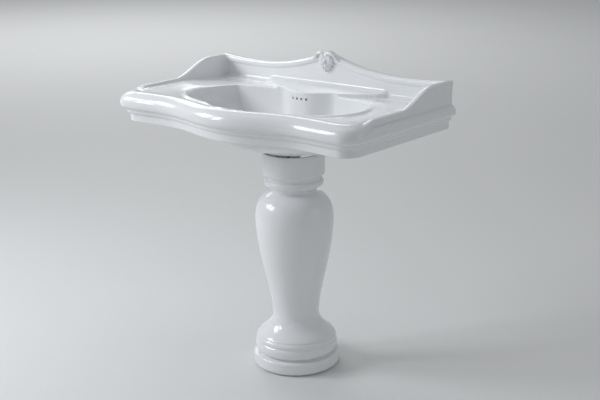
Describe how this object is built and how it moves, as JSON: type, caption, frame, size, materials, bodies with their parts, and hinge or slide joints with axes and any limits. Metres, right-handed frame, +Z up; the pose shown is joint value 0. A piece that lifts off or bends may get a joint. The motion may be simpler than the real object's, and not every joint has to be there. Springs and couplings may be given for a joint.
{
  "type": "pedestal sink",
  "caption": "Wide serpentine ceramic basin with side wings, upstand and crest on a round vase-shaped pedestal, with pop-up waste, bottle trap and fixings.",
  "frame": {"origin": "on the floor, under the middle of the sink's width and depth", "axes": "+X to the right of someone who faces the sink, +Y towards the wall, +Z up"},
  "size_m": [0.912, 0.536, 0.9735],
  "materials": {
    "basin_glaze": "high-gloss white glaze",
    "pedestal_glaze": "high-gloss white glaze, bare foot ring",
    "pad_rubber": "dark moulded rubber",
    "chrome": "polished chrome plate",
    "brass": "plain machined brass",
    "seal_rubber": "soft black rubber",
    "white_plastic": "white moulded nylon",
    "zinc": "bright zinc-plated steel"
  },
  "bodies": {
    "root": {"basin": "basin_glaze", "pedestal": "pedestal_glaze", "seat_pad_1": "pad_rubber", "seat_pad_2": "pad_rubber", "seat_pad_3": "pad_rubber", "seat_pad_4": "pad_rubber", "waste_body": "chrome", "flange_seal": "seal_rubber", "tapered_gasket": "seal_rubber", "slip_washer": "white_plastic", "back_nut": "brass", "plug_cartridge": "brass", "plug_spring": "zinc", "coupling_nut": "chrome", "coupling_washer": "seal_rubber", "dip_tube": "chrome", "trap_body": "chrome", "inlet_cone": "seal_rubber", "inlet_nut": "chrome", "outlet_cone": "seal_rubber", "outlet_nut": "chrome", "trap_cup": "chrome", "cup_seal": "seal_rubber", "outlet_pipe": "chrome", "wall_rose": "chrome", "wall_stud_left": "zinc", "wall_bush_left": "white_plastic", "wall_washer_left": "zinc", "wall_nut_left": "zinc", "wall_stud_right": "zinc", "wall_bush_right": "white_plastic", "wall_washer_right": "zinc", "wall_nut_right": "zinc", "floor_sleeve_left": "white_plastic", "floor_screw_left": "zinc", "floor_sleeve_right": "white_plastic", "floor_screw_right": "zinc"},
    "plug": {"plug_cap": "chrome", "plug_seal": "seal_rubber", "plug_spindle": "brass"}
  },
  "joints": [
    {"name": "plug_slide", "type": "slide", "parent": "root", "child": "plug", "axis": [0, 0, 1], "range_m": [0, 0.009], "deforming": ["plug_spring"]}
  ]
}
